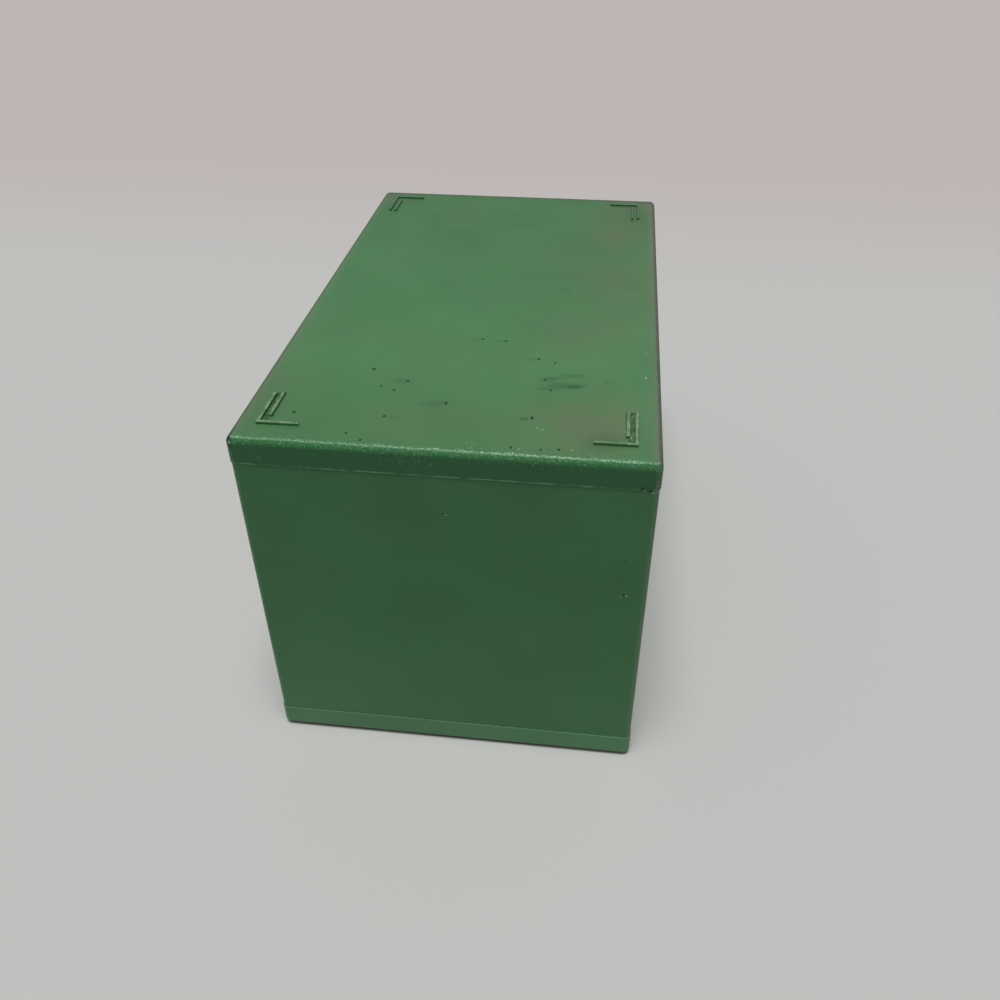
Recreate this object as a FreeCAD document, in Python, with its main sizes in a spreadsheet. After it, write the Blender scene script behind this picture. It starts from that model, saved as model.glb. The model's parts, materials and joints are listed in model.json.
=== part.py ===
import FreeCAD, Part
import math
import os
import Sketcher

# A small-parts drawer cabinet that stands on a bench: a moulded shell in five pieces, an inner
# grid of partitions and shelves, and clear drawers that slide out at the front.
# Millimetres. +Z is up, the drawers face -Y, and the long side lies along X.
# The origin is on the table, under the middle of the cabinet's whole box, pulls included.

COLUMNS = 4
ROW_NAMES = ["bottom", "middle", "top"]
ROWS = len(ROW_NAMES)
DIVIDER_COUNT = 3

# Driving sizes
SIZES = {
    # Shell
    "cabinet_width": 260.0,
    "cabinet_depth": 152.0,
    "shell_height": 150.4,
    "corner_radius": 2.8,
    "top_edge_radius": 2.7,
    "bottom_edge_radius": 1.8,
    "seam_rounding": 0.3,
    "wall_recess": 0.35,
    "fit_gap": 0.1,
    # Top cover
    "cover_plate": 2.6,
    "cover_drop": 10.8,
    "skirt_wall": 1.6,
    # Base
    "base_height": 10.3,
    "base_plate": 2.5,
    "groove_depth": 6.0,
    "rim_wall": 1.6,
    "rib_wall": 1.4,
    "rib_setback": 0.6,
    # End and back panels
    "end_wall": 2.65,
    "back_wall": 2.65,
    "key_setback": 0.2,
    # Corner marks on the top, and the foot rails that stand in their channels
    "mark_from_side": 8.5,
    "mark_from_end": 10.2,
    "mark_ridge": 1.25,
    "mark_height": 1.1,
    "mark_long_arm": 21.0,
    "mark_short_arm": 15.5,
    "mark_channel": 1.8,
    "mark_inner_start": 5.2,
    "mark_inner_length": 16.8,
    "mark_rounding": 0.3,
    "foot_height": 1.2,
    "foot_gap": 0.3,
    # Partitions and shelves
    "partition_wall": 2.2,
    "shelf_plate": 2.2,
    "lip_drop": 2.2,
    "seat_depth": 0.8,
    "seat_setback": 4.0,
    "front_rounding": 0.5,
    # Drawers
    "drawer_inset": 0.8,
    "drawer_side_gap": 0.6,
    "drawer_floor_gap": 0.25,
    "drawer_top_gap": 0.6,
    "drawer_back_gap": 0.4,
    "drawer_wall": 1.3,
    "drawer_floor": 1.4,
    "drawer_front": 1.8,
    "drawer_corner": 1.6,
    "drawer_edge": 0.9,
    "tray_corner": 1.0,
    "rim_rounding": 0.35,
    # Stop tabs
    "tab_length": 6.0,
    "tab_gap": 0.4,
    "stop_gap": 0.3,
    "drawer_hold": 31.7,
    # Pull
    "pull_width": 22.0,
    "pull_reach": 9.5,
    "pull_wall": 2.2,
    "pull_level": 9.0,
    "pull_corner": 4.0,
    "pull_edge": 0.7,
    "gusset_reach": 5.5,
    "gusset_wall": 1.4,
    "gusset_from_middle": 5.0,
    # Label holder and card
    "label_width": 44.0,
    "label_height": 13.0,
    "label_below_top": 5.0,
    "label_slot": 0.6,
    "label_rail": 1.6,
    "label_lip": 0.8,
    "label_cover": 1.0,
    "label_rounding": 0.25,
    "card_thickness": 0.4,
    # Dividers and the ribs that hold them
    "divider_wall": 1.2,
    "divider_below_top": 3.0,
    "divider_gap": 0.15,
    "divider_rib": 0.8,
    "divider_corner": 1.5,
}

# Places worked out from the sizes
PLACES = {
    "half_width": "Sizes.cabinet_width / 2",
    "half_depth": "Sizes.cabinet_depth / 2",
    "wall_x": "Sizes.cabinet_width / 2 - Sizes.wall_recess",
    "wall_y": "Sizes.cabinet_depth / 2 - Sizes.wall_recess",
    "inner_x": "wall_x - Sizes.end_wall",
    "inner_y": "wall_y - Sizes.back_wall",
    # Inner faces of the skirts, and outer faces of the tongues that stand in them
    "skirt_x": "half_width - Sizes.skirt_wall",
    "skirt_y": "half_depth - Sizes.skirt_wall",
    "tongue_x": "skirt_x - Sizes.fit_gap",
    "tongue_y": "skirt_y - Sizes.fit_gap",
    # Far faces of the keys that join back panel and shelves to the end panels
    "key_x": "tongue_x - Sizes.fit_gap - Sizes.key_setback",
    "key_y": "tongue_y - Sizes.fit_gap - Sizes.key_setback",
    # Heights
    "base_top": "Sizes.foot_height + Sizes.base_height",
    "top": "Sizes.foot_height + Sizes.shell_height",
    "cover_low": "top - Sizes.cover_drop",
    "plate_low": "top - Sizes.cover_plate",
    "shoulder": "cover_low - Sizes.fit_gap",
    "groove_floor": "base_top - Sizes.groove_depth",
    "tongue_low": "groove_floor + Sizes.fit_gap",
    # The hollow under the base, inside its grooved rim
    "hollow_x": "inner_x - Sizes.fit_gap - Sizes.rim_wall",
    "hollow_y": "inner_y - Sizes.fit_gap - Sizes.rim_wall",
    "hollow_top": "base_top - Sizes.base_plate",
    "rib_low": "Sizes.foot_height + Sizes.rib_setback",
    # Corner marks
    "mark_x": "half_width - Sizes.mark_from_end",
    "mark_y": "half_depth - Sizes.mark_from_side",
    "channel_y": "mark_y - Sizes.mark_ridge",
    "inner_ridge_y": "channel_y - Sizes.mark_channel",
    "inner_ridge_x": "mark_x - Sizes.mark_inner_start",
    "foot_y": "channel_y - Sizes.mark_channel / 2",
    "foot_half": "Sizes.mark_channel / 2 - Sizes.foot_gap",
    # The grid of drawer cells
    "column_pitch": f"(2 * inner_x + Sizes.partition_wall) / {COLUMNS}",
    "cell_width": "column_pitch - Sizes.partition_wall",
    "row_pitch": f"(cover_low - base_top + Sizes.shelf_plate + Sizes.lip_drop) / {ROWS}",
    "opening_height": "row_pitch - Sizes.shelf_plate - Sizes.lip_drop",
    "seat_front": "-wall_y + Sizes.seat_setback",
    # One drawer, from its front face and its underside
    "drawer_y": "-wall_y + Sizes.drawer_inset",
    "drawer_half": "cell_width / 2 - Sizes.drawer_side_gap",
    "drawer_length": "inner_y - Sizes.drawer_back_gap - drawer_y",
    "drawer_height": "opening_height - Sizes.drawer_floor_gap - Sizes.drawer_top_gap",
    "tray_half": "drawer_half - Sizes.drawer_wall",
    "tray_back": "drawer_length - Sizes.drawer_wall",
    "tab_start": "drawer_length - Sizes.drawer_hold",
    "drawer_travel":
        "tab_start - (Sizes.skirt_wall - Sizes.wall_recess - Sizes.drawer_inset) - Sizes.stop_gap",
    "tab_top": "row_pitch - Sizes.shelf_plate - Sizes.drawer_floor_gap - Sizes.tab_gap",
    "label_low": "drawer_height - Sizes.label_below_top - Sizes.label_height",
    "label_depth": "Sizes.label_slot + Sizes.label_lip",
    "divider_pitch": f"(tray_back - Sizes.drawer_front) / {DIVIDER_COUNT + 1}",
    "divider_top": "drawer_height - Sizes.divider_below_top",
    # How far the pulls stand out of the shell's front, and the shift that centres the whole
    "pull_overhang": "Sizes.pull_reach - Sizes.wall_recess - Sizes.drawer_inset",
    "shift_y": "pull_overhang / 2",
}

doc = FreeCAD.newDocument("parts_drawer_cabinet")


def fill_sheet(name, cells):
    sheet = doc.addObject("Spreadsheet::Sheet", name)
    for row, (alias, value) in enumerate(cells.items(), start=1):
        sheet.set(f"A{row}", alias)
        sheet.set(f"B{row}", value)
        sheet.setAlias(f"B{row}", alias)
    doc.recompute()
    return sheet


sizes_sheet = fill_sheet("Sizes", {alias: str(value) for alias, value in SIZES.items()})
places_sheet = fill_sheet("Places", {alias: "=" + formula for alias, formula in PLACES.items()})


def add_body(name, x="0", y="0", z="0"):
    """A body with its own label, placed by formulas in the shell's frame."""
    body = doc.addObject("PartDesign::Body", name)
    body.Label = name
    place(body, x, y, z)
    return body


def place(piece, x="0", y="0", z="0"):
    piece.setExpression("Placement.Base.x", x)
    piece.setExpression("Placement.Base.y", f"{y} + Places.shift_y")
    piece.setExpression("Placement.Base.z", z)


def add_copy(name, original, x="0", y="0", z="0"):
    """A repeat of a body at a place of its own."""
    link = doc.addObject("App::Link", name)
    link.LinkedObject = original
    link.Label = name
    place(link, x, y, z)
    return link


def origin_plane(body, role):
    return next(item for item in body.Origin.OriginFeatures if item.Role == role)


def add_sketch(body, name, role, level):
    sketch = body.newObject("Sketcher::SketchObject", name)
    sketch.AttachmentSupport = [(origin_plane(body, role), "")]
    sketch.MapMode = "FlatFace"
    sketch.setExpression(".AttachmentOffset.Base.z", level)
    return sketch


def bind(sketch, constraint, name, formula):
    index = sketch.addConstraint(constraint)
    sketch.renameConstraint(index, name)
    sketch.setExpression("Constraints." + name, formula)


def number(formula):
    """What a formula comes to now, to draw a sketch near its final shape."""
    return float(places_sheet.evalExpression(formula))


def polygon_sketch(body, name, role, level, corners):
    """A closed outline of straight lines, each corner at two formulas."""
    sketch = add_sketch(body, name, role, level)
    points = [FreeCAD.Vector(number(u), number(v), 0) for u, v in corners]
    count = len(points)
    for index in range(count):
        sketch.addGeometry(Part.LineSegment(points[index], points[(index + 1) % count]))
    for index in range(count):
        sketch.addConstraint(Sketcher.Constraint("Coincident", index, 2, (index + 1) % count, 1))
    for index, (u, v) in enumerate(corners):
        point = points[index]
        bind(sketch, Sketcher.Constraint("DistanceX", -1, 1, index, 1, point.x), f"u{index}", u)
        bind(sketch, Sketcher.Constraint("DistanceY", -1, 1, index, 1, point.y), f"v{index}", v)
    return sketch


def rounded_sketch(body, name, level, x, y, radius):
    """A flat rectangle with four equal round corners, between pairs of formulas."""
    sketch = add_sketch(body, name, "XY_Plane", level)
    left, right, low, high, r = [number(formula) for formula in (*x, *y, radius)]
    sides = [
        ((left + r, low), (right - r, low)),
        ((right, low + r), (right, high - r)),
        ((right - r, high), (left + r, high)),
        ((left, high - r), (left, low + r)),
    ]
    centres = [(right - r, low + r), (right - r, high - r), (left + r, high - r), (left + r, low + r)]
    quarter = math.pi / 2
    up = FreeCAD.Vector(0, 0, 1)
    for start, end in sides:
        sketch.addGeometry(Part.LineSegment(FreeCAD.Vector(*start, 0), FreeCAD.Vector(*end, 0)))
    for index, centre in enumerate(centres):
        circle = Part.Circle(FreeCAD.Vector(*centre, 0), up, r)
        first = (index - 1) * quarter
        sketch.addGeometry(Part.ArcOfCircle(circle, first, first + quarter))
    for index in range(4):
        arc = index + 4
        sketch.addConstraint(Sketcher.Constraint("Tangent", index, 2, arc, 1))
        sketch.addConstraint(Sketcher.Constraint("Tangent", arc, 2, (index + 1) % 4, 1))
    for index in (4, 5, 6):
        sketch.addConstraint(Sketcher.Constraint("Equal", index, index + 1))
    sketch.addConstraint(Sketcher.Constraint("Horizontal", 0))
    sketch.addConstraint(Sketcher.Constraint("Vertical", 1))
    bind(sketch, Sketcher.Constraint("Radius", 4, r), "radius", radius)
    bind(sketch, Sketcher.Constraint("DistanceX", -1, 1, 3, 1, left), "left", x[0])
    bind(sketch, Sketcher.Constraint("DistanceX", -1, 1, 1, 1, right), "right", x[1])
    bind(sketch, Sketcher.Constraint("DistanceY", -1, 1, 0, 1, low), "low", y[0])
    bind(sketch, Sketcher.Constraint("DistanceY", -1, 1, 2, 1, high), "high", y[1])
    return sketch


def raise_sketch(body, sketch, name, height, cut=False):
    """A pad, or a pocket, from the sketch towards its normal."""
    feature = body.newObject("PartDesign::Pocket" if cut else "PartDesign::Pad", name)
    feature.Profile = sketch
    feature.setExpression("Length", height)
    feature.Reversed = cut
    sketch.Visibility = False
    doc.recompute()
    return feature


def block(body, name, x, y, z, cut=False):
    """A straight-sided block between pairs of formulas, added or cut away."""
    corners = [(x[0], y[0]), (x[1], y[0]), (x[1], y[1]), (x[0], y[1])]
    before = body.Shape.Volume if cut else 0
    sketch = polygon_sketch(body, name + "_outline", "XY_Plane", z[0], corners)
    feature = raise_sketch(body, sketch, name, f"({z[1]}) - ({z[0]})", cut)
    if cut and not body.Shape.Volume < before:
        raise RuntimeError(f"{name} cuts nothing")
    return feature


def mirror(body, name, features, role):
    feature = body.newObject("PartDesign::Mirrored", name)
    feature.Originals = features
    feature.MirrorPlane = (origin_plane(body, role), [""])
    body.Tip = feature
    doc.recompute()
    return feature


def transform(body, name, features, steps):
    """Several mirrors or patterns of the same features, one after the other."""
    feature = body.newObject("PartDesign::MultiTransform", name)
    feature.Originals = features
    feature.Transformations = steps
    body.Tip = feature
    doc.recompute()
    return feature


def mirror_to_corners(body, name, features):
    """What stands at one corner, repeated at the other three."""
    steps = []
    for role in ("YZ_Plane", "XZ_Plane"):
        step = body.newObject("PartDesign::Mirrored", f"{name}_over_{role[:2]}")
        step.MirrorPlane = (origin_plane(body, role), [""])
        steps.append(step)
    return transform(body, name, features, steps)


def round_edges(body, name, radius, chosen):
    """A fillet on the edges of the body so far that a test picks out."""
    base = body.Tip
    names = [f"Edge{index}" for index, edge in enumerate(base.Shape.Edges, start=1) if chosen(edge)]
    feature = body.newObject("PartDesign::Fillet", name)
    feature.Base = (base, names)
    feature.setExpression("Radius", radius)
    doc.recompute()
    return feature


def close(a, b):
    return abs(a - b) < 1e-4


def level_at(edge, z):
    """Whether an edge lies level at this height."""
    box = edge.BoundBox
    return close(box.ZMin, z) and close(box.ZMax, z)


def in_plane_y(edge, y):
    box = edge.BoundBox
    return close(box.YMin, y) and close(box.YMax, y)


def is_upright(edge):
    box = edge.BoundBox
    return close(box.XMin, box.XMax) and close(box.YMin, box.YMax)


def runs_along_x(edge):
    box = edge.BoundBox
    return close(box.YMin, box.YMax) and close(box.ZMin, box.ZMax)


def runs_along_y(edge):
    box = edge.BoundBox
    return close(box.XMin, box.XMax) and close(box.ZMin, box.ZMax)


def outside_skirt(edge):
    """Whether an edge belongs to the outline of the cover or base, not to what is inside it."""
    box = edge.BoundBox
    far_x = max(-box.XMin, box.XMax)
    far_y = max(-box.YMin, box.YMax)
    return far_x > number("Places.skirt_x + Sizes.seam_rounding") or (
        far_y > number("Places.skirt_y + Sizes.seam_rounding"))


def across(half):
    """A span centred on the middle plane."""
    return (f"-{half}", half)


def around(middle, half):
    return (f"{middle} - ({half})", f"{middle} + ({half})")


def partition_x(index):
    """Formula for the middle of an upright partition, counted from the left."""
    return f"Places.column_pitch * {index + 1 - COLUMNS / 2}"


def column_x(index):
    return f"Places.column_pitch * {index + 0.5 - COLUMNS / 2}"


def row_floor(index):
    """Formula for the top of the base or of the shelf that a row of drawers slides on."""
    return f"(Places.base_top + Places.row_pitch * {index})"


SEAT_HALF = "Sizes.partition_wall / 2 + Sizes.fit_gap"


# Top cover: one moulding, a plate with a skirt all round that laps over the walls
def build_top_cover():
    body = add_body("top_cover")
    outer = rounded_sketch(
        body, "cover_outline", "Places.cover_low", across("Places.half_width"),
        across("Places.half_depth"), "Sizes.corner_radius")
    raise_sketch(body, outer, "cover_block", "Sizes.cover_drop")
    block(body, "cover_hollow", across("Places.skirt_x"), across("Places.skirt_y"),
          ("Places.cover_low", "Places.plate_low"), cut=True)
    for index in range(COLUMNS - 1):
        block(body, f"cover_seat_{index + 1}", around(partition_x(index), SEAT_HALF),
              ("Places.seat_front - Sizes.fit_gap", "Places.inner_y"),
              ("Places.plate_low", "Places.plate_low + Sizes.seat_depth"), cut=True)
    top = number("Places.top")
    round_edges(body, "cover_rounding", "Sizes.top_edge_radius", lambda edge: level_at(edge, top))
    low = number("Places.cover_low")
    round_edges(body, "cover_seam", "Sizes.seam_rounding",
                lambda edge: level_at(edge, low) and outside_skirt(edge))
    # Corner mark: an L of two arms, and a shorter ridge beside its long arm
    x, y = "Places.mark_x", "Places.mark_y"
    ridge = "Sizes.mark_ridge"
    angle = [
        (x, y),
        (f"{x} - Sizes.mark_long_arm", y),
        (f"{x} - Sizes.mark_long_arm", f"{y} - {ridge}"),
        (f"{x} - {ridge}", f"{y} - {ridge}"),
        (f"{x} - {ridge}", f"{y} - Sizes.mark_short_arm"),
        (x, f"{y} - Sizes.mark_short_arm"),
    ]
    corner = polygon_sketch(body, "mark_angle_outline", "XY_Plane", "Places.top", angle)
    arms = raise_sketch(body, corner, "mark_angle", "Sizes.mark_height")
    inner = block(
        body, "mark_inner_ridge",
        ("Places.inner_ridge_x - Sizes.mark_inner_length", "Places.inner_ridge_x"),
        (f"Places.inner_ridge_y - {ridge}", "Places.inner_ridge_y"),
        ("Places.top", "Places.top + Sizes.mark_height"))
    mirror_to_corners(body, "marks", [arms, inner])
    mark_top = number("Places.top + Sizes.mark_height")
    round_edges(body, "mark_edges", "Sizes.mark_rounding", lambda edge: level_at(edge, mark_top))
    return body


# Base: one moulding, hollow underneath, with a grooved rim for the walls, ribs and foot rails
def build_base():
    body = add_body("base")
    outer = rounded_sketch(
        body, "base_outline", "Sizes.foot_height", across("Places.half_width"),
        across("Places.half_depth"), "Sizes.corner_radius")
    raise_sketch(body, outer, "base_block", "Sizes.base_height")
    low = number("Sizes.foot_height")
    round_edges(body, "base_rounding", "Sizes.bottom_edge_radius", lambda edge: level_at(edge, low))
    block(body, "base_hollow", across("Places.hollow_x"), across("Places.hollow_y"),
          ("Sizes.foot_height", "Places.hollow_top"), cut=True)
    # The groove runs down both ends and along the back; the front is open to the drawers
    groove_x = "(Places.inner_x - Sizes.fit_gap)"
    groove_y = "(Places.inner_y - Sizes.fit_gap)"
    groove = [
        ("-Places.skirt_x", "-Places.skirt_y"),
        (f"-{groove_x}", "-Places.skirt_y"),
        (f"-{groove_x}", groove_y),
        (groove_x, groove_y),
        (groove_x, "-Places.skirt_y"),
        ("Places.skirt_x", "-Places.skirt_y"),
        ("Places.skirt_x", "Places.skirt_y"),
        ("-Places.skirt_x", "Places.skirt_y"),
    ]
    sketch = polygon_sketch(body, "groove_outline", "XY_Plane", "Places.groove_floor", groove)
    raise_sketch(body, sketch, "groove", "Sizes.groove_depth", cut=True)
    high = number("Places.base_top")
    round_edges(body, "base_seam", "Sizes.seam_rounding",
                lambda edge: level_at(edge, high) and outside_skirt(edge))
    rib_half = "Sizes.rib_wall / 2"
    rib_height = ("Places.rib_low", "Places.hollow_top")
    for index in range(COLUMNS - 1):
        block(body, f"base_seat_{index + 1}", around(partition_x(index), SEAT_HALF),
              ("Places.seat_front - Sizes.fit_gap", "Places.inner_y"),
              ("Places.base_top - Sizes.seat_depth", "Places.base_top"), cut=True)
        block(body, f"cross_rib_{index + 1}", around(partition_x(index), rib_half),
              across("Places.hollow_y"), rib_height)
    for name, side in (("front", "-"), ("back", "")):
        block(body, f"long_rib_{name}", across("Places.hollow_x"),
              around(f"{side}Places.foot_y", rib_half), rib_height)
    foot = block(
        body, "foot_rail",
        ("Places.inner_ridge_x - Sizes.mark_inner_length",
         "Places.mark_x - Sizes.mark_ridge - Sizes.foot_gap"),
        around("Places.foot_y", "Places.foot_half"), ("0", "Places.rib_low"))
    mirror_to_corners(body, "feet", [foot])
    return body


# End panel: a flat wall with rounded upright corners, tongues above and below, and grooves inside
def build_end_panel(name, side):
    body = add_body(name)

    def out(near, far):
        """A span across the wall, mirrored for the left panel."""
        span = (f"{side} * ({near})", f"{side} * ({far})")
        return span if side > 0 else span[::-1]

    block(body, name + "_wall", out("Places.inner_x", "Places.wall_x"), across("Places.wall_y"),
          ("Places.base_top", "Places.shoulder"))
    face = side * number("Places.wall_x")
    round_edges(body, name + "_corners", "Sizes.corner_radius - Sizes.wall_recess",
                lambda edge: is_upright(edge) and close(edge.BoundBox.XMin, face))
    tongue_x = out("Places.inner_x", "Places.tongue_x")
    block(body, name + "_upper_tongue", tongue_x, across("Places.tongue_y"),
          ("Places.shoulder", "Places.plate_low"))
    block(body, name + "_lower_tongue", tongue_x, across("Places.tongue_y"),
          ("Places.tongue_low", "Places.base_top"))
    groove_x = out("Places.inner_x", "Places.key_x + Sizes.fit_gap")
    block(body, name + "_back_groove", groove_x,
          ("Places.inner_y - Sizes.fit_gap", "Places.key_y + Sizes.fit_gap"),
          ("Places.base_top", "Places.shoulder"), cut=True)
    for row in range(1, ROWS):
        block(body, f"{name}_shelf_groove_{row}", groove_x,
              ("Places.seat_front - Sizes.fit_gap", "Places.inner_y"),
              (f"{row_floor(row)} - Sizes.shelf_plate", f"{row_floor(row)} + Sizes.fit_gap"),
              cut=True)
    return body


# Back panel: a flat wall between the end panels, keyed into both, with tongues above and below
def build_back_panel():
    body = add_body("back_panel")
    wide = across("(Places.inner_x - Sizes.fit_gap)")
    wall_height = ("Places.base_top", "Places.shoulder")
    tongue = ("Places.inner_y", "Places.tongue_y")
    block(body, "back_wall", wide, ("Places.inner_y", "Places.wall_y"), wall_height)
    block(body, "back_keys", across("Places.key_x"), ("Places.inner_y", "Places.key_y"),
          wall_height)
    block(body, "back_upper_tongue", wide, tongue, ("Places.shoulder", "Places.plate_low"))
    block(body, "back_lower_tongue", wide, tongue, ("Places.tongue_low", "Places.base_top"))
    return body


# Partition: an upright sheet keyed into base and cover, slotted from the front for the shelves
def build_partition(name):
    body = add_body(name, x=partition_x(0))
    half = "Sizes.partition_wall / 2"
    sheet = (f"-{half}", half)
    rear = "Places.inner_y - Sizes.fit_gap"
    key_y = ("Places.seat_front", rear)
    key_drop = "(Sizes.seat_depth - Sizes.fit_gap)"
    block(body, "partition_sheet", sheet, ("-Places.wall_y", rear),
          ("Places.base_top", "Places.shoulder"))
    front = -number("Places.wall_y")
    round_edges(body, "partition_front", "Sizes.front_rounding",
                lambda edge: is_upright(edge) and in_plane_y(edge, front))
    block(body, "partition_head", sheet, ("-Places.tongue_y", rear),
          ("Places.shoulder", "Places.plate_low"))
    block(body, "partition_foot_key", sheet, key_y,
          (f"Places.base_top - {key_drop}", "Places.base_top"))
    block(body, "partition_head_key", sheet, key_y,
          ("Places.plate_low", f"Places.plate_low + {key_drop}"))
    for row in range(1, ROWS):
        under = f"{row_floor(row)} - Sizes.shelf_plate"
        block(body, f"shelf_slot_{row}", sheet, ("-Places.wall_y", "Sizes.fit_gap / 2"),
              (under, f"{row_floor(row)} + Sizes.fit_gap"), cut=True)
        block(body, f"lip_notch_{row}", sheet, ("-Places.wall_y", "-Places.skirt_y + Sizes.fit_gap"),
              (f"{under} - Sizes.lip_drop - Sizes.fit_gap", under), cut=True)
    return body


# Shelf: a sheet with a lip under its front edge, slotted from the back for the partitions
def build_shelf(name):
    body = add_body(name, z=f"{row_floor(1)} - Sizes.shelf_plate")
    rear = "Places.inner_y - Sizes.fit_gap"
    wide = across("(Places.inner_x - Sizes.fit_gap)")
    thickness = ("0", "Sizes.shelf_plate")
    block(body, "shelf_sheet", wide, ("-Places.wall_y", rear), thickness)
    block(body, "shelf_keys", across("Places.key_x"), ("Places.seat_front", rear), thickness)
    block(body, "shelf_lip", wide, ("-Places.wall_y", "-Places.skirt_y"), ("-Sizes.lip_drop", "0"))
    front = -number("Places.wall_y")
    round_edges(body, "shelf_front", "Sizes.front_rounding",
                lambda edge: runs_along_x(edge) and in_plane_y(edge, front))
    for index in range(COLUMNS - 1):
        block(body, f"partition_slot_{index + 1}", around(partition_x(index), SEAT_HALF),
              ("-Sizes.fit_gap / 2", "Places.inner_y"), thickness, cut=True)
    return body


# Drawer: a clear tray, drawn from its own front face and underside
def build_drawer(name):
    body = add_body(name, **drawer_place(0, 0))
    tray_half = "Places.tray_half"
    outer = rounded_sketch(body, "drawer_outline", "0", across("Places.drawer_half"),
                           ("0", "Places.drawer_length"), "Sizes.drawer_corner")
    raise_sketch(body, outer, "drawer_block", "Places.drawer_height")
    round_edges(body, "drawer_edges", "Sizes.drawer_edge", lambda edge: level_at(edge, 0))
    inside = rounded_sketch(body, "tray_outline", "Sizes.drawer_floor", across(tray_half),
                            ("Sizes.drawer_front", "Places.tray_back"), "Sizes.tray_corner")
    raise_sketch(body, inside, "tray", "Places.drawer_height - Sizes.drawer_floor", cut=True)
    rim = number("Places.drawer_height")
    round_edges(body, "rim_edges", "Sizes.rim_rounding", lambda edge: level_at(edge, rim))
    # Stop tabs on the side walls, sloped behind so that the drawer can be pushed in past the lip
    root = "Places.drawer_height - Sizes.rim_rounding"
    tab = [
        ("Places.tab_start", root),
        ("Places.tab_start + Sizes.tab_length", root),
        ("Places.tab_start + Sizes.tab_length / 3", "Places.tab_top"),
        ("Places.tab_start", "Places.tab_top"),
    ]
    tab_sketch = polygon_sketch(body, "stop_tab_outline", "YZ_Plane", tray_half, tab)
    tab_right = raise_sketch(body, tab_sketch, "stop_tab", "Sizes.drawer_wall")
    mirror(body, "stop_tabs", [tab_right], "YZ_Plane")
    # Pairs of small ribs hold a divider at several places along the tray
    rib_x = (f"{tray_half} - Sizes.divider_rib", tray_half)
    rib_z = ("Sizes.drawer_floor", "Places.divider_top")
    first = "(Sizes.drawer_front + Places.divider_pitch)"
    near = "(Sizes.divider_wall / 2 + Sizes.divider_gap)"
    far = "(Sizes.divider_wall / 2 + Sizes.divider_gap + Sizes.divider_rib)"
    ribs = [
        block(body, "rib_ahead", rib_x, (f"{first} - {far}", f"{first} - {near}"), rib_z),
        block(body, "rib_behind", rib_x, (f"{first} + {near}", f"{first} + {far}"), rib_z),
    ]
    repeat_ribs(body, ribs)
    # Label holder on the front face, open at its top
    width = "Sizes.label_width / 2"
    top = "Places.label_low + Sizes.label_height"
    block(body, "label_frame", across(f"({width} + Sizes.label_rail)"),
          ("-Places.label_depth", "0"), ("Places.label_low - Sizes.label_rail", top))
    block(body, "label_slot", across(f"({width} + Sizes.fit_gap)"),
          ("-Sizes.label_slot", "0"), ("Places.label_low", top), cut=True)
    block(body, "label_window", across(f"({width} - Sizes.label_cover)"),
          ("-Places.label_depth", "-Sizes.label_slot"),
          ("Places.label_low + Sizes.label_cover", top), cut=True)
    label_face = -number("Places.label_depth")
    round_edges(body, "label_edges", "Sizes.label_rounding",
                lambda edge: in_plane_y(edge, label_face))
    # Pull: a flat tongue on two gussets
    tongue = rounded_sketch(body, "pull_outline", "Sizes.pull_level", across("Sizes.pull_width / 2"),
                            ("-Sizes.pull_reach", "Sizes.drawer_front / 2"), "Sizes.pull_corner")
    raise_sketch(body, tongue, "pull", "Sizes.pull_wall")
    gusset = [
        ("0", "Sizes.pull_level"),
        ("-Sizes.gusset_reach", "Sizes.pull_level"),
        ("0", "Sizes.pull_level - Sizes.gusset_reach"),
    ]
    gusset_sketch = polygon_sketch(body, "gusset_outline", "YZ_Plane", "Sizes.gusset_from_middle",
                                   gusset)
    gusset_right = raise_sketch(body, gusset_sketch, "gusset", "Sizes.gusset_wall")
    mirror(body, "gussets", [gusset_right], "YZ_Plane")
    tip = -number("Sizes.pull_reach")
    round_edges(body, "pull_edges", "Sizes.pull_edge",
                lambda edge: in_plane_y(edge, tip) and runs_along_x(edge))
    return body


def repeat_ribs(body, ribs):
    """The first pair of divider ribs, on both side walls and at every divider place."""
    other_side = body.newObject("PartDesign::Mirrored", "ribs_other_side")
    other_side.MirrorPlane = (origin_plane(body, "YZ_Plane"), [""])
    along = body.newObject("PartDesign::LinearPattern", "ribs_along")
    along.Direction = (origin_plane(body, "Y_Axis"), [""])
    along.setExpression("Length", f"Places.divider_pitch * {DIVIDER_COUNT - 1}")
    along.Occurrences = DIVIDER_COUNT
    transform(body, "divider_ribs", ribs, [other_side, along])


def build_divider(name):
    body = add_body(name, **divider_place(0, 0))
    block(body, "divider_sheet", across("(Places.tray_half - Sizes.divider_gap)"),
          across("Sizes.divider_wall / 2"), ("0", "Places.divider_top - Sizes.drawer_floor"))
    round_edges(body, "divider_corners", "Sizes.divider_corner", lambda edge: runs_along_y(edge))
    return body


def build_label_card(name):
    body = add_body(name, **card_place(0, 0))
    half = "Sizes.card_thickness / 2"
    block(body, "card", across("Sizes.label_width / 2"), (f"-{half}", half),
          ("0", "Sizes.label_height - Sizes.fit_gap"))
    return body


def drawer_place(row, column):
    return {
        "x": column_x(column),
        "y": "Places.drawer_y",
        "z": f"{row_floor(row)} + Sizes.drawer_floor_gap",
    }


def divider_place(row, column):
    """The middle one of the places for a divider, standing on the tray's floor."""
    spot = drawer_place(row, column)
    middle = (DIVIDER_COUNT + 1) / 2
    spot["y"] += f" + Sizes.drawer_front + Places.divider_pitch * {middle}"
    spot["z"] += " + Sizes.drawer_floor"
    return spot


def card_place(row, column):
    """In the middle of the label slot, standing on the frame's lower rail."""
    spot = drawer_place(row, column)
    spot["y"] += " - Sizes.label_slot / 2"
    spot["z"] += " + Places.label_low"
    return spot


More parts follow.
